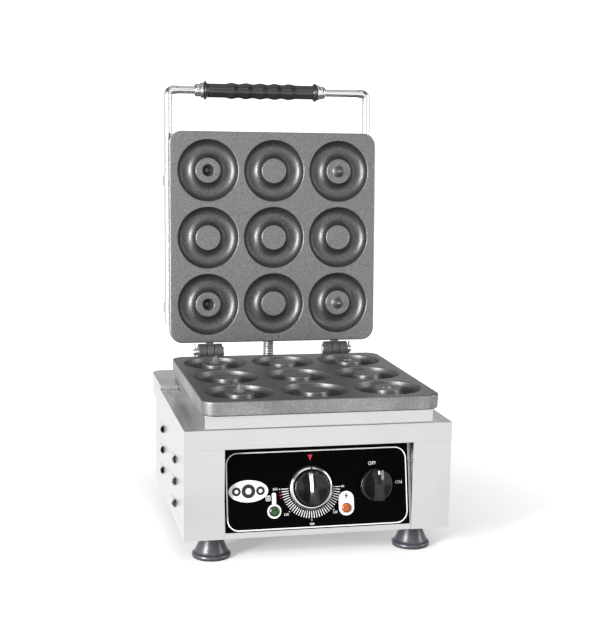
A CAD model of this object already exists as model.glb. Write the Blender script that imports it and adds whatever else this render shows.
import bpy
import math
from mathutils import Matrix, Vector


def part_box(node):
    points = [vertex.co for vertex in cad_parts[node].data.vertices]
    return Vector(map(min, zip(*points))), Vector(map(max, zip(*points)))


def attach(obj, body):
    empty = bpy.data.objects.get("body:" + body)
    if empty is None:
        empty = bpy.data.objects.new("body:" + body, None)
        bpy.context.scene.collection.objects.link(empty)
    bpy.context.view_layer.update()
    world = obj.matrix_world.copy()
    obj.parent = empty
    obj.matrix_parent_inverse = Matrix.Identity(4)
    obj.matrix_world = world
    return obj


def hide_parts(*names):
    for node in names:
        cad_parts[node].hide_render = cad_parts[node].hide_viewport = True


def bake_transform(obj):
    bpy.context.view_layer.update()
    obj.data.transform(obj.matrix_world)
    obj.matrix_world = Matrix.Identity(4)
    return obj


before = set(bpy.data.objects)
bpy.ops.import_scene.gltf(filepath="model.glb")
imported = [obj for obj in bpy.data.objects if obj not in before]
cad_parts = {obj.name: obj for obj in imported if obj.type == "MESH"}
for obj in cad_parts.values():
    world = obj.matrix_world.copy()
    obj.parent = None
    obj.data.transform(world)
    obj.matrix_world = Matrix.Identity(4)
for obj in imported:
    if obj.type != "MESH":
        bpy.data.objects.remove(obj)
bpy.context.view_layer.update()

# Studio. A wide pale table top that gives the steel no reflection, and round it a backdrop that is
# brightest behind, in front and at the sides. A tall light on the left draws the crescents in the
# cups, a broad one hangs overhead and a small one stands on the right. The camera is at eye height.


class Wire:
    """One output inside a material. Sums with it add Math nodes."""

    def __init__(self, socket):
        self.socket = socket

    def node(self, kind, settings=(), inputs=(), output=0):
        made = self.socket.id_data.nodes.new("ShaderNode" + kind)
        for key, value in dict(settings).items():
            if key == "stops":
                ramp = made.color_ramp
                while len(ramp.elements) < len(value):
                    ramp.elements.new(1)
                for element, (at, shade) in zip(ramp.elements, value):
                    element.position = at
                    element.color = (shade, shade, shade, 1)
            else:
                setattr(made, key, value)
        for key, value in dict(inputs).items():
            if isinstance(value, Wire):
                self.socket.id_data.links.new(made.inputs[key], value.socket)
            else:
                made.inputs[key].default_value = value
        return Wire(made.outputs[output])

    def maths(self, operation, first, second):
        return self.node("Math", {"operation": operation}, {0: first, 1: second})

    def __add__(self, other):
        return self.maths("ADD", self, other)

    def __sub__(self, other):
        return self.maths("SUBTRACT", self, other)

    def __rsub__(self, other):
        return self.maths("SUBTRACT", other, self)

    def __mul__(self, other):
        return self.maths("MULTIPLY", self, other)

    __radd__ = __add__
    __rmul__ = __mul__

    def stretched(self, scale):
        return self.node("Mapping", {}, {"Vector": self, "Scale": scale})

    def noise(self, scale, detail=3, rough=0.5):
        return self.node("TexNoise", {}, {
            "Vector": self, "Scale": scale, "Detail": detail, "Roughness": rough})

    def ramp(self, *stops):
        return self.node("ValToRGB", {"stops": stops}, {0: self})

    def mix(self, first, second):
        return self.node("Mix", {"data_type": "RGBA"}, {0: self, 6: first, 7: second}, 2)

    def bump(self, strength, depth):
        return self.node("Bump", {}, {"Height": self, "Strength": strength, "Distance": depth})


def colour(red, green, blue):
    return (red, green, blue, 1)


def new_material(name):
    """A material, its shader and the place of a point on the piece."""
    material = bpy.data.materials.new(name)
    material.use_nodes = True
    shader = material.node_tree.nodes["Principled BSDF"]
    return material, shader, Wire(shader.outputs[0]).node("TexCoord", output="Object")


def dress(shader, sockets):
    """Puts numbers and colours on the shader's own sockets, and links what varies."""
    for name, value in sockets.items():
        if isinstance(value, Wire):
            shader.id_data.links.new(shader.inputs[name], value.socket)
        else:
            shader.inputs[name].default_value = value


bpy.ops.object.select_all(action="DESELECT")
bpy.ops.mesh.primitive_plane_add(size=14)
table = bpy.context.object
table.name = "table_top"
table_paint, shader, place = new_material("table_paint")
from_middle = place.node("VectorMath", {"operation": "LENGTH"}, {0: place}, 1)
dress(shader, {
    "Base Color": place.noise(9).mix(colour(0.9, 0.9, 0.905), colour(0.93, 0.93, 0.93)),
    "Roughness": place.noise(40) * 0.1 + 0.5,
    "Emission Color": from_middle.ramp((0.2, 0.3), (0.55, 0.8)),
    "Emission Strength": 1,
})
table.data.materials.append(table_paint)
table.visible_glossy = False
table.visible_diffuse = False

bpy.context.scene.view_settings.view_transform = "Standard"
world = bpy.data.worlds.new("studio_air")
bpy.context.scene.world = world
world.use_nodes = True
air = world.node_tree.nodes["Background"]
sky = Wire(air.outputs[0]).node("TexCoord", output="Generated")
across, backwards, upwards = [sky.node("SeparateXYZ", {}, {0: sky}, axis) * 0.5 + 0.5 for axis in "XYZ"]
front_and_back = (
    backwards.ramp((0.06, 1), (0.22, 0.4), (0.42, 0.14), (0.82, 0.18), (0.92, 1), (1, 1))
    * upwards.ramp((0.15, 0.1), (0.34, 1), (0.44, 0.92), (0.55, 1), (0.585, 0.35), (1, 0.35))
    * across.ramp((0.48, 0.9), (0.57, 0.95), (0.63, 1.12), (0.69, 0.85), (0.8, 0.78)))
sides = across.ramp((0, 0.62), (0.06, 0.62), (0.14, 0), (0.86, 0), (0.94, 0.45), (1, 0.45))
ceiling = upwards.ramp((0.9, 0), (0.96, 0.4), (1, 0.4))
world.node_tree.links.new(air.inputs["Color"], (front_and_back + sides + ceiling).socket)
air.inputs["Strength"].default_value = 1.35

lit_point = Vector((0, 0, 0.22))
for name, power, wide, tall, at in [
        ("tall_left_light", 75, 0.4, 1.1, (-1.75, -1.35, 0.6)),
        ("overhead_light", 9, 2.2, 1.2, (0.1, -2.2, 2.2)),
        ("right_light", 16, 0.6, 1.2, (1.9, -0.9, 0.9)),
]:
    bpy.ops.object.light_add(type="AREA", location=at)
    light = bpy.context.object
    light.name = name
    light.data.shape = "RECTANGLE"
    light.data.size = wide
    light.data.size_y = tall
    light.data.energy = power
    light.rotation_euler = (lit_point - Vector(at)).to_track_quat("-Z", "Y").to_euler()

eye = Vector((-0.31167, -1.38932, 0.45092))
turned_right, looking_down, leaning = 0.2271, 0.1539, 0.0178
forward = Vector((math.sin(turned_right) * math.cos(looking_down),
                  math.cos(turned_right) * math.cos(looking_down), -math.sin(looking_down)))
level = Vector((math.cos(turned_right), -math.sin(turned_right), 0))
right = math.cos(leaning) * level + math.sin(leaning) * level.cross(forward)
bpy.ops.object.camera_add()
camera = bpy.context.object
camera.matrix_world = Matrix.Translation(eye) @ Matrix(
    (right, right.cross(forward), -forward)).transposed().to_4x4()
camera.data.lens = 72.2
bpy.context.scene.camera = camera

# Stainless body: two side panels with louvres, the top cover with its apron, the control panel's
# frame, the plinth under the lower plate and the rear deck. Bent from 1.2 mm brushed sheet, so
# every fold and cut edge has a small bright round; spot-welded and screwed together.

steel_shade = 0.62


def brushed_steel(name, grain):
    """Stainless sheet with its brush marks across the two fine directions of the grain."""
    material, shader, place = new_material(name)
    streaks = place.stretched(grain).noise(1, 4, 0.6)
    smudges = place.noise(14, 4, 0.6)
    buckles = place.noise(9, 1)
    scratches = place.stretched([value * 0.2 for value in grain]).noise(3, 2).ramp((0.62, 0), (0.72, 1))
    dark, bright = [colour(*(steel_shade * part for part in parts))
                    for parts in [(0.84, 0.845, 0.855), (1.16, 1.16, 1.165)]]
    dress(shader, {
        "Base Color": (streaks * 0.5 + smudges * 0.5).mix(dark, bright),
        "Metallic": 0.94 + smudges * 0.05,
        "Roughness": 0.13 + streaks * 0.12 + smudges * 0.1 + scratches * 0.05,
        "Normal": (buckles + streaks * 0.008).bump(1, 0.0035),
    })
    return material


steel_across = brushed_steel("steel_brushed_across", (6, 900, 900))
steel_along = brushed_steel("steel_brushed_along", (900, 6, 900))


def alone(piece):
    bpy.ops.object.select_all(action="DESELECT")
    piece.select_set(True)
    bpy.context.view_layer.objects.active = piece


def smoothed(piece, degrees=35):
    alone(piece)
    bpy.ops.object.shade_smooth_by_angle(angle=math.radians(degrees))
    for modifier in piece.modifiers:
        bpy.ops.object.modifier_apply(modifier=modifier.name)


def fitted(piece, name, material, body, nodes=()):
    """Names a finished piece, gives it its finish and puts it on its body."""
    piece.name = piece.data.name = name
    piece.data.materials.clear()
    piece.data.materials.append(material)
    for polygon in piece.data.polygons:
        polygon.material_index = 0
    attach(piece, body)
    if nodes:
        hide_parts(*nodes)
    return piece


def rounded_copy(node, edge, steps=2):
    """Copy of a CAD node with its flat faces made whole and its sharp edges rounded."""
    piece = bpy.data.objects.new(node + "_rounded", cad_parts[node].data.copy())
    bpy.context.scene.collection.objects.link(piece)
    alone(piece)
    bpy.ops.object.mode_set(mode="EDIT")
    bpy.ops.mesh.select_all(action="SELECT")
    bpy.ops.mesh.remove_doubles(threshold=0.00001)
    bpy.ops.mesh.dissolve_limited(angle_limit=math.radians(1))
    bpy.ops.object.mode_set(mode="OBJECT")
    bevel = piece.modifiers.new("edges", "BEVEL")
    bevel.width = edge
    bevel.segments = steps
    bevel.angle_limit = math.radians(40)
    weight = piece.modifiers.new("flats", "WEIGHTED_NORMAL")
    weight.keep_sharp = True
    smoothed(piece)
    return piece


for node, material, edge in [
        ("side_panel_left", steel_along, 0.0005), ("side_panel_right", steel_along, 0.0005),
        ("top_cover", steel_across, 0.0005), ("plinth", steel_across, 0.0005),
        ("rear_deck", steel_across, 0.0006), ("rear_panel", steel_across, 0.0003),
        ("bottom_plate", steel_across, 0.0003), ("control_panel", steel_across, 0.0003),
]:
    fitted(rounded_copy(node, edge), node + "_sheet", material, "base", [node])

# Cooking plates: cast aluminium under a dark grey non-stick coat with a sandy speckle. Nine ring
# cups each; the corner posts of one side carry cones and those of the other side the hollows
# for them. Bolted on the plinth below and on the lid's cover above.

coat, shader, place = new_material("nonstick_coat")
speckle = place.noise(1300, 2, 0.7)
sand = place.noise(620, 3, 0.7)
cloud = place.noise(16, 4, 0.6)
worn = place.noise(60, 5, 0.7).ramp((0.62, 0), (0.8, 1))
baked = place.node("Attribute", {"attribute_name": "baked_oil"}, {}, 2)
bare = place.node("Attribute", {"attribute_name": "bare_casting"}, {}, 2) * cloud.ramp((0.35, 0.2), (0.65, 1))
grit = (speckle * 0.55 + sand * 0.45).ramp((0.34, 0), (0.66, 1))
dress(shader, {
    "Base Color": bare.mix(baked.mix(grit.mix(colour(0.1, 0.101, 0.103), colour(0.33, 0.33, 0.333)),
                                     grit.mix(colour(0.045, 0.045, 0.046), colour(0.2, 0.2, 0.202))),
                           grit.mix(colour(0.22, 0.22, 0.22), colour(0.6, 0.6, 0.6))),
    "Metallic": 0.78 + cloud * 0.12,
    "Roughness": 0.34 + sand * 0.12 + cloud * 0.06 - worn * 0.04,
    "Normal": (speckle * 0.5 + sand * 0.5).bump(0.35, 0.0002),
})


def drawn_on(rings):
    """Extrudes the selected loop from ring to ring, each a (radius, height) pair."""
    for (radius, height), (next_radius, next_height) in zip(rings, rings[1:]):
        bpy.ops.mesh.extrude_region_move(TRANSFORM_OT_translate={"value": (0, 0, next_height - height)})
        grow = next_radius / radius
        bpy.ops.transform.resize(value=(grow, grow, 1))


def capped(piece, numbers):
    """Closes the loop through the vertices with these numbers."""
    alone(piece)
    bpy.ops.object.mode_set(mode="EDIT")
    bpy.ops.mesh.select_mode(type="VERT")
    bpy.ops.mesh.select_all(action="DESELECT")
    bpy.ops.object.mode_set(mode="OBJECT")
    for number in numbers:
        piece.data.vertices[number].select = True
    bpy.ops.object.mode_set(mode="EDIT")
    bpy.ops.mesh.edge_face_add()
    bpy.ops.object.mode_set(mode="OBJECT")


def turned(rings, segments=64, ends="both"):
    """Piece turned on a lathe about Z. A bored one has its first ring again as its last."""
    bpy.ops.object.select_all(action="DESELECT")
    bpy.ops.mesh.primitive_circle_add(vertices=segments, radius=rings[0][0], location=(0, 0, rings[0][1]))
    piece = bpy.context.object
    bpy.ops.object.transform_apply(location=True)
    bpy.ops.object.mode_set(mode="EDIT")
    bpy.ops.mesh.select_all(action="SELECT")
    drawn_on(rings)
    bpy.ops.object.mode_set(mode="OBJECT")
    count = len(piece.data.vertices)
    if ends in ("both", "first"):
        capped(piece, range(segments))
    if ends == "both":
        capped(piece, range(count - segments, count))
    bpy.ops.object.mode_set(mode="EDIT")
    bpy.ops.mesh.select_all(action="SELECT")
    bpy.ops.mesh.remove_doubles(threshold=0.000002)
    bpy.ops.mesh.normals_make_consistent(inside=False)
    bpy.ops.object.mode_set(mode="OBJECT")
    return piece


def put(piece, matrix):
    """Moves a finished piece to its place and leaves its object at the origin."""
    alone(piece)
    piece.matrix_world = matrix @ piece.matrix_world
    bpy.ops.object.transform_apply(location=True, rotation=True, scale=True)
    return piece


def joined(pieces):
    alone(pieces[0])
    for piece in pieces:
        piece.select_set(True)
    bpy.ops.object.join()
    return pieces[0]


def copied(piece, matrix):
    twin = bpy.data.objects.new(piece.name, piece.data.copy())
    bpy.context.scene.collection.objects.link(twin)
    return put(twin, matrix)


low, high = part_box("lower_plate")
front = low.y
half_plate = (high.x - low.x) / 2
plate_top = 0.173
plate_corner = 0.015
cup_grid = [(column, row) for column in (-1, 0, 1) for row in (-1, 0, 1)]
cup_spacing = 0.0793
cup_reach = 0.037
ring_radius, groove_radius = 0.0255, 0.0105
groove = [(ring_radius - groove_radius * math.cos(math.radians(turn)),
           -groove_radius * math.sin(math.radians(turn))) for turn in range(10, 171, 8)]
rim_in = [(0.0128, 0), (0.0135, 0), (0.0142, -0.0001), (0.0147, -0.00035), (0.01497, -0.0009)]
rim_out = [(0.03603, -0.0009), (0.0363, -0.00035), (0.0368, -0.0001), (0.0375, 0), (0.0383, 0)]
cup_middles = {
    "plain": [(0.004, 0), (0.009, 0)],
    "cone": [(0.0005, 0.0094), (0.0011, 0.0091), (0.0017, 0.0084), (0.0024, 0.0073), (0.0034, 0.0053),
             (0.0045, 0.0033), (0.0057, 0.0016), (0.0066, 0.0006), (0.0072, 0.0001), (0.0076, 0)],
    "hollow": [(0.0012, -0.0104), (0.0026, -0.01), (0.0034, -0.009), (0.0069, -0.0009), (0.0072, -0.0003),
               (0.0077, 0)],
}


def cup(kind):
    piece = turned(cup_middles[kind] + rim_in + groove + rim_out, 80, "first")
    piece.name = kind
    return piece


def nine_cups(sides):
    """Three rows of cups; sides are the kinds of the left and of the right corner cups."""
    originals = {kind: cup(kind) for kind in ("plain", "cone", "hollow")}
    cups = []
    for column, row in cup_grid:
        kind = sides[column > 0] if column and row else "plain"
        place_on = Matrix.Translation((column * cup_spacing, row * cup_spacing, 0))
        cups.append(copied(originals[kind], place_on))
    for piece in originals.values():
        bpy.data.objects.remove(piece)
    return joined(cups)


def outer_wall():
    """Wall and underside of a plate, open at the top, where the cups' face joins it."""
    bpy.ops.object.select_all(action="DESELECT")
    bpy.ops.mesh.primitive_plane_add(size=2 * half_plate)
    wall = bpy.context.object
    bpy.ops.object.mode_set(mode="EDIT")
    bpy.ops.mesh.select_all(action="SELECT")
    bpy.ops.mesh.bevel(offset=plate_corner, segments=10, affect="VERTICES")
    bpy.ops.mesh.delete(type="ONLY_FACE")
    bpy.ops.mesh.select_all(action="SELECT")
    rounded_edge = [(0.0018, 0), (0.001, 0.0001), (0.0004, 0.0004), (0.0001, 0.0009), (0, 0.0016),
                    (0.0004, 0.0139), (0.0006, 0.0147), (0.0011, 0.0152), (0.0018, 0.0155)]
    start = 1 - rounded_edge[0][0] / half_plate
    bpy.ops.transform.resize(value=(start, start, 1))
    drawn_on([(half_plate - inset, -drop) for inset, drop in rounded_edge])
    bpy.ops.mesh.edge_face_add()
    bpy.ops.object.mode_set(mode="OBJECT")
    return wall


def mark_finish(body):
    """Writes where the plate is darkened by baked oil, in the cups, and where it is bare, outside."""
    full_below = 0.002
    for name in ("baked_oil", "bare_casting"):
        finish = body.data.attributes.new(name, "FLOAT", "POINT")
        for vertex, shade in zip(body.data.vertices, finish.data):
            in_a_cup = any(
                math.hypot(vertex.co.x - column * cup_spacing, vertex.co.y - row * cup_spacing) < cup_reach
                for column, row in cup_grid)
            wanted = in_a_cup == (name == "baked_oil")
            shade.value = min(1, max(0, -vertex.co.z / full_below)) if wanted else 0


def plate(sides):
    """Whole plate with its face up at Z = 0."""
    body = joined([nine_cups(sides), outer_wall()])
    bpy.ops.object.mode_set(mode="EDIT")
    bpy.ops.mesh.select_mode(type="EDGE")
    bpy.ops.mesh.select_all(action="DESELECT")
    bpy.ops.mesh.select_non_manifold()
    bpy.ops.mesh.fill(use_beauty=True)
    bpy.ops.mesh.select_all(action="SELECT")
    bpy.ops.mesh.normals_make_consistent(inside=False)
    bpy.ops.object.mode_set(mode="OBJECT")
    mark_finish(body)
    weight = body.modifiers.new("flats", "WEIGHTED_NORMAL")
    weight.keep_sharp = True
    smoothed(body, 40)
    return body


lower = put(plate(("cone", "hollow")), Matrix.Translation((0, front + half_plate, plate_top)))
fitted(lower, "lower_plate_casting", coat, "base", ["lower_plate"])

# lid_place takes the lid from where it lies closed, measured from the hinge's axis, to its rest.
open_angle = math.radians(93)
hinge = Vector((0, front + 0.261, 0.176))
lid_place = Matrix.Translation(hinge) @ Matrix.Rotation(-open_angle, 4, "X")
upper_face = Vector((0, -0.136, -0.0026))
upper = put(plate(("hollow", "cone")),
            lid_place @ Matrix.Translation(upper_face) @ Matrix.Rotation(math.pi, 4, "X"))
fitted(upper, "upper_plate_casting", coat, "lid", ["upper_plate"])

# Hinges: cast brackets on the lower plate and cast tongues on the upper one, in the same dark
# grey. A turned steel pin with a head runs through each set and is kept by a split pin.

cast, shader, place = new_material("hinge_casting")
pits = place.noise(700, 3, 0.7)
stains = place.noise(90, 4, 0.6)
dress(shader, {
    "Base Color": (pits * 0.5 + stains * 0.5).ramp((0.3, 0), (0.7, 1)).mix(
        colour(0.06, 0.06, 0.062), colour(0.17, 0.17, 0.172)),
    "Metallic": 0.5 + stains * 0.2,
    "Roughness": 0.32 + pits * 0.2,
    "Normal": pits.bump(0.4, 0.0003),
})
for node, body in [("hinge_bracket_left", "base"), ("hinge_bracket_right", "base"),
                   ("hinge_tongue_left", "lid"), ("hinge_tongue_right", "lid")]:
    fitted(rounded_copy(node, 0.0008, 3), node + "_casting", cast, body, [node])

zinc, shader, place = new_material("zinc_plated_steel")
flecks = place.noise(260, 3, 0.6)
rubbed = place.noise(900, 2)
dress(shader, {
    "Base Color": flecks.ramp((0.35, 0), (0.65, 1)).mix(colour(0.5, 0.5, 0.49), colour(0.74, 0.74, 0.75)),
    "Metallic": 0.92 + flecks * 0.06,
    "Roughness": 0.22 + flecks * 0.2 + rubbed * 0.04,
    "Normal": rubbed.bump(0.12, 0.0001),
})
pin_aside = Vector((0.077, 0, 0))
for side, node in [(-1, "hinge_pin_left"), (1, "hinge_pin_right")]:
    pin = turned([(0.0036, -0.0166), (0.0054, -0.0164), (0.0059, -0.0159), (0.006, -0.0151),
                  (0.0057, -0.0145), (0.004, -0.0144), (0.004, 0.0195), (0.0037, 0.02),
                  (0.003, 0.0202)], 40)
    smoothed(put(pin, Matrix.Translation(hinge + side * pin_aside)
                 @ Matrix.Rotation(side * math.pi / 2, 4, "Y")))
    fitted(pin, node + "_turned", zinc, "base", [node])


def repaint(nodes, material):
    """New finish on CAD nodes whose shape is right."""
    for node in nodes:
        for material_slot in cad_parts[node].material_slots:
            material_slot.material = material


repaint(["cotter_pins"], zinc)

# Handle: two chromed arms clipped to the lid's sides, a chromed bar between their elbows, and a
# glossy black moulded grip with finger waves, held between two stepped chrome ferrules.

chrome, shader, place = new_material("bright_chrome")
haze = place.noise(70, 4, 0.6)
hairlines = place.stretched((1, 1, 12)).noise(300, 2)
dress(shader, {
    "Base Color": haze.mix(colour(0.66, 0.67, 0.69), colour(0.82, 0.825, 0.84)),
    "Metallic": 0.98 - haze * 0.02,
    "Roughness": 0.05 + haze * 0.09 + hairlines * 0.03,
    "Normal": haze.bump(0.05, 0.0003),
})
for node in ["handle_arm_left", "handle_arm_right", "handle_bar"]:
    fitted(rounded_copy(node, 0.0007, 3), node + "_tube", chrome, "lid", [node])

grip_black, shader, place = new_material("moulded_grip_black")
grain = place.noise(500, 3)
hands = place.noise(45, 4, 0.6)
dress(shader, {
    "Base Color": hands.mix(colour(0.008, 0.008, 0.009), colour(0.03, 0.03, 0.032)),
    "Roughness": 0.12 + hands * 0.14 + grain * 0.03,
    "Coat Weight": 0.4 + hands * 0.2,
    "Coat Roughness": 0.08,
    "Normal": grain.bump(0.06, 0.0002),
})
grip_middle = (-0.0105, -0.3105, 0.0314)
bar = Matrix.Translation(grip_middle) @ Matrix.Rotation(math.pi / 2, 4, "Y")
grip_radius, wave_rise = 0.0083, 0.0007
plain_beyond, wave_length = 44, 17.6
waves = []
for step in range(-64, 65):
    wave = 1 - math.cos(math.tau * (step + plain_beyond) / wave_length) if abs(step) < plain_beyond else 0
    waves.append((grip_radius + wave_rise * wave, step / 1000))
flange = [(0.0088, 0.065), (0.0096, 0.0657), (0.0106, 0.0661), (0.011, 0.0668), (0.011, 0.068),
          (0.0105, 0.0687), (0.0086, 0.069), (0.005, 0.069)]
grip = turned([(radius, -along) for radius, along in reversed(flange)] + waves + flange + [(0.005, -0.069)],
              56, "bored")
smoothed(put(grip, lid_place @ bar), 50)
fitted(grip, "finger_grip", grip_black, "lid", ["handle_grip"])

for side, node in [(-1, "grip_ferrule_left"), (1, "grip_ferrule_right")]:
    ferrule = turned([(0.0047, 0.0691), (0.0084, 0.0691), (0.009, 0.0696), (0.0092, 0.071), (0.009, 0.0724),
                      (0.0083, 0.073), (0.0074, 0.0732), (0.0072, 0.0737), (0.0076, 0.0744), (0.0077, 0.0758),
                      (0.0074, 0.0778), (0.0066, 0.0794), (0.0058, 0.08), (0.0047, 0.08), (0.0047, 0.0691)],
                     56, "bored")
    smoothed(put(ferrule, lid_place @ bar @ Matrix.Rotation(0 if side > 0 else math.pi, 4, "Y")), 50)
    fitted(ferrule, node + "_turned", chrome, "lid", [node])

# Lid cover: a deep-drawn stainless box over the upper element, with rounded corners, held by
# four dome screws, and four spring-steel clips for the handle's arms.

fitted(rounded_copy("lid_cover", 0.0014, 4), "lid_cover_pressing", steel_across, "lid",
       ["lid_cover"])
fitted(rounded_copy("handle_clips", 0.0003), "handle_clips_bent", steel_along, "lid",
       ["handle_clips"])


def dome_screw(size, tail):
    """Screw with a domed head and a cross recess; its head has that radius and starts at Z = 0."""
    dome = [(1, 0), (1.02, 0.12), (0.95, 0.28), (0.78, 0.42), (0.5, 0.52), (0.2, 0.56)]
    screw = turned([(size * 0.5, -tail), (size * 0.52, -0.0003), (size * 0.55, 0)]
                   + [(size * wide, size * tall) for wide, tall in dome], 32)
    bpy.ops.object.select_all(action="DESELECT")
    bpy.ops.mesh.primitive_cube_add(size=1, location=(0, 0, size * 0.52))
    cross = bpy.context.object
    cross.scale = (size * 1.1, size * 0.2, size * 0.4)
    bpy.ops.object.transform_apply(location=True, scale=True)
    bpy.ops.object.mode_set(mode="EDIT")
    bpy.ops.mesh.select_all(action="SELECT")
    bpy.ops.mesh.duplicate()
    bpy.ops.transform.rotate(value=math.pi / 2, orient_axis="Z", center_override=(0, 0, 0))
    bpy.ops.object.mode_set(mode="OBJECT")
    recess = screw.modifiers.new("recess", "BOOLEAN")
    recess.object = cross
    recess.use_self = True
    recess.operation = "DIFFERENCE"
    alone(screw)
    bpy.ops.object.modifier_apply(modifier="recess")
    bpy.data.objects.remove(cross)
    return screw


def screws(name, original, places, body, nodes):
    """One piece made of copies of a screw."""
    group = joined([copied(original, matrix) for matrix in places])
    bpy.data.objects.remove(original)
    smoothed(group, 40)
    fitted(group, name, zinc, body, nodes)


cover_top, clip_out, clip_up = 0.0429, 0.1166, 0.0214
screws("cover_dome_screws", dome_screw(0.004, 0.013),
       [lid_place @ Matrix.Translation((x, y, cover_top)) for x in (-0.1, 0.1) for y in (-0.241, -0.031)],
       "lid", ["cover_screws"])
screws("clip_dome_screws", dome_screw(0.0028, 0.002),
       [lid_place @ Matrix.Translation((side * clip_out, y, clip_up))
        @ Matrix.Rotation(side * math.pi / 2, 4, "Y") for side in (-1, 1) for y in (-0.051, -0.203)],
       "lid", ["clip_screws"])
body_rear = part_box("rear_panel")[1].y
low_row, high_row = 0.036, 0.084
screws("rear_dome_screws", dome_screw(0.0038, 0.008),
       [Matrix.Translation((x, body_rear, z)) @ Matrix.Rotation(-math.pi / 2, 4, "X")
        for x, z in [(-0.12, low_row), (-0.12, high_row), (0.12, low_row), (0.12, high_row),
                     (-0.06, low_row), (0.06, low_row)]],
       "base", ["rear_screws"])

# Feet: black rubber mouldings, waisted above a round base with a thin rim, on zinc screws that
# come up through the bottom plate.

rubber, shader, place = new_material("black_rubber")
bloom = place.noise(40, 4, 0.6)
pores = place.noise(900, 2, 0.7)
dress(shader, {
    "Base Color": bloom.mix(colour(0.022, 0.023, 0.031), colour(0.06, 0.062, 0.082)),
    "Roughness": 0.26 + bloom * 0.14 + pores * 0.05,
    "Specular IOR Level": 1,
    "Normal": pores.bump(0.2, 0.0002),
})
foot = turned([(0.0032, 0.026), (0.0088, 0.026), (0.0096, 0.0257), (0.0101, 0.025), (0.0106, 0.0238),
               (0.0124, 0.0185), (0.015, 0.0122), (0.017, 0.0078), (0.0178, 0.0062), (0.0186, 0.0055),
               (0.0196, 0.0049), (0.0202, 0.0041), (0.02035, 0.003), (0.02035, 0.0016), (0.0199, 0.0005),
               (0.0191, 0), (0.0074, 0), (0.007, 0.0004), (0.007, 0.008), (0.0032, 0.008), (0.0032, 0.026)],
              72, "bored")
smoothed(foot, 50)
for corner in ["front_left", "front_right", "rear_left", "rear_right"]:
    low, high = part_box("foot_" + corner)
    middle = (low + high) / 2
    fitted(copied(foot, Matrix.Translation((middle.x, middle.y, 0))), "rubber_foot_" + corner, rubber, "base",
           ["foot_" + corner])
bpy.data.objects.remove(foot)
repaint(["foot_screws", "plinth_screws"], zinc)

# Control panel: a printed gloss-black film on the slanted sheet. The print is white and red ink:
# a border, the dial's ticks and numbers, a pointer mark, a badge and the fields round the lamps.

film, shader, place = new_material("gloss_black_film")
wipes = place.noise(22, 4, 0.6)
dust = place.noise(1500, 2, 0.8).ramp((0.68, 0), (0.8, 1))
dress(shader, {
    "Base Color": dust.mix(colour(0.0006, 0.0006, 0.0007), colour(0.006, 0.006, 0.006)),
    "Roughness": 0.14 + wipes * 0.12 + dust * 0.1,
    "Specular IOR Level": 0.03,
    "Normal": wipes.bump(0.03, 0.0004),
})
fitted(rounded_copy("panel_overlay", 0.00015), "panel_film", film, "base",
       ["panel_overlay"])

# panel takes X across, Y up the slope and Z out of the sheet, from the middle of its lower edge.
tilt = math.radians(12)
panel_foot = Vector((0, front + 0.014, 0.0315))
panel = Matrix.Translation(panel_foot) @ Matrix(
    ((1, 0, 0), (0, math.sin(tilt), -math.cos(tilt)), (0, math.cos(tilt), math.sin(tilt)))).to_4x4()
film_top = 0.0006
ink_depth = 0.00005


def ink(name, red, green, blue):
    material, shader, place = new_material(name)
    dots = place.noise(1800, 2, 0.7)
    patches = place.noise(120, 3)
    dress(shader, {
        "Base Color": (dots * 0.5 + patches * 0.5).mix(
            colour(red * 0.82, green * 0.82, blue * 0.82), colour(red, green, blue)),
        "Roughness": 0.38 + dots * 0.15,
        "Normal": dots.bump(0.1, 0.0001),
    })
    return material


white_ink = ink("white_ink", 0.86, 0.86, 0.85)
red_ink = ink("red_ink", 0.5, 0.02, 0.05)
black_ink = ink("black_ink", 0.012, 0.012, 0.012)


def flat(points, x=0, up=0, turn=0):
    """Flat patch through the points, turned by degrees and moved, in millimetres."""
    bpy.ops.object.select_all(action="DESELECT")
    bpy.ops.mesh.primitive_circle_add(vertices=len(points), radius=0.001, fill_type="NGON")
    patch = bpy.context.object
    spin = Matrix.Rotation(math.radians(turn), 2)
    for vertex, point in zip(patch.data.vertices, points):
        spot = spin @ Vector(point) + Vector((x, up))
        vertex.co = (spot.x / 1000, spot.y / 1000, 0)
    return patch


def round_patch(wide, tall, corner, x=0, up=0, steps=8):
    points = []
    for quarter, (side, end) in enumerate([(1, 1), (-1, 1), (-1, -1), (1, -1)]):
        for step in range(steps + 1):
            angle = math.pi / 2 * (quarter + step / steps)
            points.append((side * (wide / 2 - corner) + corner * math.cos(angle),
                           end * (tall / 2 - corner) + corner * math.sin(angle)))
    return flat(points, x, up)


def frame_line(patch, width):
    """Keeps only a line of that width along the patch's edge."""
    alone(patch)
    bpy.ops.object.mode_set(mode="EDIT")
    bpy.ops.mesh.select_all(action="SELECT")
    bpy.ops.mesh.inset(thickness=width / 1000)
    bpy.ops.mesh.delete(type="FACE")
    bpy.ops.object.mode_set(mode="OBJECT")
    return patch


def lettering(text, size, x, up):
    bpy.ops.object.select_all(action="DESELECT")
    bpy.ops.object.text_add(location=(x / 1000, up / 1000, 0))
    label = bpy.context.object
    label.data.body = text
    label.data.size = size / 1000
    label.data.align_x = label.data.align_y = "CENTER"
    label.data.resolution_u = 3
    bpy.ops.object.convert(target="MESH")
    bpy.ops.object.transform_apply(location=True)
    return bpy.context.object


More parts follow.
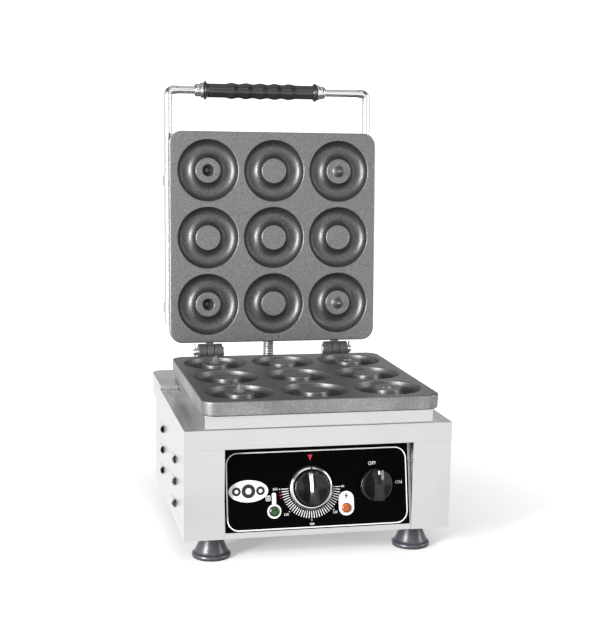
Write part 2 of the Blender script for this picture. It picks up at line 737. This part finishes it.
def printed(name, patches, material, lift):
    """Joins patches into one print, gives it the ink's thickness and lays it on the film."""
    group = joined(patches)
    alone(group)
    bpy.ops.object.mode_set(mode="EDIT")
    bpy.ops.mesh.select_all(action="SELECT")
    bpy.ops.mesh.normals_make_consistent(inside=False)
    bpy.ops.mesh.extrude_region_move(TRANSFORM_OT_translate={"value": (0, 0, ink_depth)})
    bpy.ops.mesh.select_all(action="SELECT")
    bpy.ops.mesh.normals_make_consistent(inside=False)
    bpy.ops.object.mode_set(mode="OBJECT")
    put(group, panel @ Matrix.Translation((0, 0, film_top + lift)))
    fitted(group, name, material, "base")


def circle(radius, steps=40, squash=1):
    return [(radius * math.cos(math.tau * step / steps), radius * squash * math.sin(math.tau * step / steps))
            for step in range(steps)]


dial_x, dial_up = -7.5, 43
switch_x, switch_up = 62, 43
green_x, orange_x, lamp_up = -47, 30, 20.5
badge_x, badge_up = -73.6, 42.4
border = round_patch(193.4, 80.5, 12.5, 0, 41.95)
white = [frame_line(border, 1.25)]
ticks, tick_turn = 35, 180 / 34
tick = [(24.1, -0.38), (31.4, -0.42), (31.4, 0.42), (24.1, 0.38)]
for step in range(ticks):
    white.append(flat(tick, dial_x, dial_up, 180 + tick_turn * step))
dot_radius, number_radius, number_size = 33.4, 38.2, 3.6
for step, (text, inward) in enumerate([("300", 0), ("240", 0), ("180", 0), ("120", 1.9), ("60", 4.2)]):
    east, north = math.cos(math.radians(180 + 45 * step)), math.sin(math.radians(180 + 45 * step))
    white.append(flat(circle(0.6, 12), dial_x + dot_radius * east, dial_up + dot_radius * north))
    white.append(lettering(text, number_size, dial_x + number_radius * east - inward,
                           dial_up + (number_radius - 0.8) * north))
white.append(lettering("OFF", 5, switch_x - 3, switch_up + 22.6))
white.append(lettering("ON", 5, switch_x + 25.6, switch_up + 1.6))
thermometer_bulb = flat(circle(7.4), green_x, lamp_up)
white.append(frame_line(thermometer_bulb, 1.9))
thermometer_stem = round_patch(4.4, 12.5, 2.1, green_x, lamp_up + 13)
white.append(thermometer_stem)
coil_x, coil_up = green_x - 6.2, lamp_up + 13.7
for turn in (-1, 0, 1):
    white.append(round_patch(3.2, 0.7, 0.3, coil_x, coil_up + 1.5 * turn, 3))
coil_box = round_patch(5, 5.6, 1, coil_x, coil_up, 4)
white.append(frame_line(coil_box, 0.5))
power_field = round_patch(16.4, 25.4, 8, orange_x, lamp_up + 4.8)
white.append(power_field)
printed("white_print", white, white_ink, 0)
printed("badge_print", [flat(circle(20.8, 64, 0.545), badge_x, badge_up)], white_ink, 0)
rings = [frame_line(flat(circle(radius), badge_x + aside, badge_up), line)
         for radius, aside, line in [(7.2, 0, 4), (4.6, -12.6, 2.6), (4.6, 12.6, 2.6)]]
bolt = [(1.2, 4), (-2, -0.4), (-0.3, -0.4), (-1.1, -4), (2, 0.8), (0.4, 0.8)]
printed("black_print", rings + [flat(bolt, orange_x, lamp_up + 12.4)], black_ink, ink_depth)
red = [flat([(-2.6, 3), (2.6, 3), (0, -3)], dial_x, dial_up + 31.4)]
hot_mark = [(32.4, -0.4), (34.4, -0.4), (34.4, 0.4), (32.4, 0.4)]
for step in (1, 2, 3):
    red.append(flat(hot_mark, dial_x, dial_up, 180 + tick_turn * step))
printed("red_print", red, red_ink, 0)

# Lamps: moulded lenses with a faceted inside, green for heating and orange for power, snapped
# into black holders behind the panel.


def lens(name, node, x, dark, bright):
    material, shader, place = new_material(name)
    facets = place.node("TexVoronoi", {}, {"Vector": place, "Scale": 620}).noise(1, 2)
    glow = place.noise(170, 3, 0.6)
    dress(shader, {
        "Base Color": (facets * 0.4 + glow * 0.6).ramp((0.3, 0), (0.68, 1)).mix(dark, bright),
        "Roughness": 0.1 + glow * 0.1,
        "Coat Weight": 0.7 + glow * 0.2,
        "Coat Roughness": 0.04,
        "Normal": facets.bump(0.3, 0.0004),
    })
    piece = turned([(0.0045, -0.006), (0.0052, -0.0055), (0.0052, 0.0008), (0.0051, 0.0014), (0.0047, 0.0019),
                    (0.004, 0.0024), (0.003, 0.0028), (0.0018, 0.00305), (0.0006, 0.00315)], 48)
    smoothed(put(piece, panel @ Matrix.Translation((x / 1000, lamp_up / 1000, 0))), 40)
    fitted(piece, name + "_piece", material, "base", [node])


lens("green_lens", "lamp_lens_green", green_x,
     colour(0.0005, 0.006, 0.001), colour(0.002, 0.075, 0.008))
lens("orange_lens", "lamp_lens_orange", orange_x,
     colour(0.12, 0.012, 0.001), colour(0.56, 0.12, 0.012))

# Thermostat and switch knobs: black mouldings with a grip bar across a round skirt, pushed on
# steel shafts. The thermostat's turns inside a sloping chrome bezel.

knob_black, shader, place = new_material("knob_black")
texture = place.noise(700, 3, 0.6)
wear = place.noise(110, 4, 0.6)
dress(shader, {
    "Base Color": wear.mix(colour(0.002, 0.002, 0.0022), colour(0.009, 0.009, 0.0095)),
    "Roughness": 0.2 + wear * 0.12 + texture * 0.04,
    "Coat Weight": 0.7 + wear * 0.2,
    "Coat Roughness": 0.09,
    "Specular IOR Level": 0.1,
    "Normal": texture.bump(0.03, 0.0001),
})
bezel = turned([(0.0194, 0), (0.0212, 0), (0.0224, 0.0006), (0.0231, 0.0018), (0.0229, 0.0028),
                (0.0222, 0.0036), (0.0212, 0.0042), (0.0204, 0.0045), (0.0198, 0.0046),
                (0.0195, 0.0043), (0.0194, 0)], 96, "bored")
dial_place = panel @ Matrix.Translation((dial_x / 1000, dial_up / 1000, film_top))
smoothed(put(bezel, dial_place), 50)
fitted(bezel, "thermostat_bezel_ring", chrome, "base", ["thermostat_bezel"])


def knob(skirt, skirt_rise, bar_half, rise, slope):
    """Knob along Z, its grip bar along Y with the long top edges cut at a slope. Z = 0 is the film."""
    top_edge = [(0.0005, 0.0008), (0.0009, 0.0002), (0.0016, 0), (0.003, 0.0001), (0.0045, 0.0006)]
    dish = turned([(skirt * 0.4, 0.001), (skirt - 0.0002, 0.001), (skirt, 0.0013)]
                  + [(skirt - inset, skirt_rise - drop) for inset, drop in top_edge]
                  + [(skirt * 0.4, skirt_rise - 0.0012)], 72)
    reach, start = skirt - 0.0012, 0.002
    bpy.ops.object.select_all(action="DESELECT")
    bpy.ops.mesh.primitive_cube_add(size=1, location=(0, 0, (rise + start) / 2))
    grip_bar = bpy.context.object
    grip_bar.scale = (bar_half * 2, reach * 2, rise - start)
    bpy.ops.object.transform_apply(location=True, scale=True)
    bpy.ops.object.mode_set(mode="EDIT")
    bpy.ops.mesh.select_all(action="SELECT")
    bpy.ops.mesh.subdivide(number_cuts=5)
    bpy.ops.mesh.select_all(action="DESELECT")
    bpy.ops.object.mode_set(mode="OBJECT")
    waist, taper, droop, flat_part = 0.18, 0.04, 0.0022, 0.28
    for vertex in grip_bar.data.vertices:
        along = min(1, abs(vertex.co.y) / reach)
        up = max(0, (vertex.co.z - start) / (rise - start))
        vertex.co.x *= 1 - waist * up * (1 - along * along)
        vertex.co.y *= 1 - taper * up
        vertex.co.z -= droop * up * along ** 3
        if up > 0.99:
            vertex.co.z -= slope * max(0, abs(vertex.co.x) - bar_half * flat_part)
    edges = grip_bar.modifiers.new("edges", "BEVEL")
    edges.width = 0.0007
    edges.segments = 3
    edges.angle_limit = math.radians(20)
    weight = grip_bar.modifiers.new("flats", "WEIGHTED_NORMAL")
    weight.keep_sharp = True
    smoothed(grip_bar, 60)
    smoothed(dish, 50)
    return joined([dish, grip_bar])


def pointer(points, height):
    """Thin raised mark through the points in millimetres, its underside at that height."""
    raised = 0.0007
    mark = flat(points)
    bpy.ops.object.mode_set(mode="EDIT")
    bpy.ops.mesh.select_all(action="SELECT")
    bpy.ops.mesh.extrude_region_move(TRANSFORM_OT_translate={"value": (0, 0, raised)})
    bpy.ops.mesh.select_all(action="SELECT")
    bpy.ops.mesh.normals_make_consistent(inside=False)
    bpy.ops.mesh.bevel(offset=0.0001, segments=1, affect="EDGES")
    bpy.ops.object.mode_set(mode="OBJECT")
    return put(mark, Matrix.Translation((0, 0, height)))


dial = put(knob(0.0188, 0.0072, 0.0055, 0.019, 0.7), dial_place)
fitted(dial, "thermostat_knob_moulding", knob_black, "thermostat_dial", ["thermostat_knob"])
notch = put(pointer([(-1.7, 17.2), (1.7, 17.2), (1.1, 20.6), (0, 22), (-1.1, 20.6)], 0.0052), dial_place)
fitted(notch, "thermostat_pointer", knob_black, "thermostat_dial")
switch_place = panel @ Matrix.Translation((switch_x / 1000, switch_up / 1000, film_top))
selector = put(knob(0.0176, 0.007, 0.006, 0.018, 0.5), switch_place)
fitted(selector, "switch_knob_moulding", knob_black, "switch_dial", ["switch_knob"])
stripe = put(pointer([(-0.9, 7), (0.9, 7), (0.9, 15.4), (-0.9, 15.4)], 0.0163), switch_place)
fitted(stripe, "switch_pointer", white_ink, "switch_dial")
repaint(["thermostat_shaft", "switch_shaft"], zinc)

# Conduit: a ribbed flexible metal hose that carries the lid's wires up from the rear deck, with a
# six-sided lock nut at each end. It bends as the lid closes.

hose_metal, shader, place = new_material("hose_metal")
mottle = place.noise(240, 4, 0.7)
dress(shader, {
    "Base Color": mottle.ramp((0.35, 0), (0.65, 1)).mix(colour(0.24, 0.24, 0.23), colour(0.62, 0.62, 0.6)),
    "Metallic": 0.85 + mottle * 0.1,
    "Roughness": 0.26 + mottle * 0.2,
    "Normal": mottle.bump(0.15, 0.0002),
})
low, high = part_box("conduit")
middle = (low + high) / 2
bore, valley = 0.0049, 0.0059
ribs, rib_spacing = 23, 0.003
outside = []
for rib in range(ribs):
    rib_foot = low.z + rib * rib_spacing
    outside += [(valley, rib_foot), (0.0063, rib_foot + 0.0007), (0.0065, rib_foot + 0.0014),
                (0.0063, rib_foot + 0.0022)]
outside.append((valley, high.z))
hose = turned(outside + [(bore, high.z), (bore, low.z), (valley, low.z)], 40, "bored")
smoothed(put(hose, Matrix.Translation((middle.x, middle.y, 0))), 60)
hose.name = hose.data.name = "ribbed_hose"
hose.data.materials.append(hose_metal)
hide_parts("conduit")
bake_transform(hose)
for node, body in [("conduit_nut_base", "base"), ("conduit_nut_lid", "lid")]:
    fitted(rounded_copy(node, 0.0005), node + "_turned", zinc, body, [node])

# Inside and behind: the cord's gland, the porcelain terminals, the wires in braided sleeve, the
# elements with their clamps and fibre pads, the thermostat's case and bulb, and the holders.


def plain_finish(name, dark, bright, metal, rough, grain, relief=0.2):
    material, shader, place = new_material(name)
    fine = place.noise(grain, 3, 0.6)
    broad = place.noise(grain * 0.12, 4, 0.6)
    dress(shader, {
        "Base Color": (fine * 0.5 + broad * 0.5).ramp((0.3, 0), (0.7, 1)).mix(dark, bright),
        "Metallic": metal + broad * 0.05,
        "Roughness": rough + fine * 0.15,
        "Normal": fine.bump(relief, 0.0003),
    })
    return material


black_plastic = plain_finish(
    "black_plastic", colour(0.012, 0.012, 0.012), colour(0.04, 0.04, 0.04), 0, 0.4, 600)
fitted(rounded_copy("cable_gland", 0.0006, 3), "cable_gland_moulding", black_plastic, "base",
       ["cable_gland"])
repaint(["switch_body", "lamp_housing_green", "lamp_housing_orange"], black_plastic)
repaint(["lower_heater", "upper_heater"], plain_finish(
    "heat_stained_tube", colour(0.16, 0.12, 0.1), colour(0.42, 0.36, 0.32), 0.8, 0.34, 300))
repaint(["lower_insulation", "upper_insulation"], plain_finish(
    "ceramic_fibre", colour(0.6, 0.58, 0.52), colour(0.86, 0.85, 0.8), 0, 0.75, 500, 0.7))
repaint(["thermostat_body"], plain_finish(
    "cream_moulding", colour(0.6, 0.55, 0.42), colour(0.78, 0.73, 0.6), 0, 0.42, 500))
repaint(["thermostat_bulb"], plain_finish(
    "drawn_copper", colour(0.5, 0.22, 0.1), colour(0.78, 0.42, 0.25), 0.9, 0.25, 400))
repaint(["terminal_block"], plain_finish(
    "glazed_porcelain", colour(0.72, 0.7, 0.64), colour(0.85, 0.84, 0.8), 0, 0.18, 200, 0.1))
repaint(["wiring"], plain_finish(
    "braided_sleeve", colour(0.2, 0.02, 0.015), colour(0.45, 0.07, 0.05), 0, 0.6, 1200, 0.8))
repaint(["heat_shield", "lower_heater_clamps", "upper_heater_clamps"], steel_across)
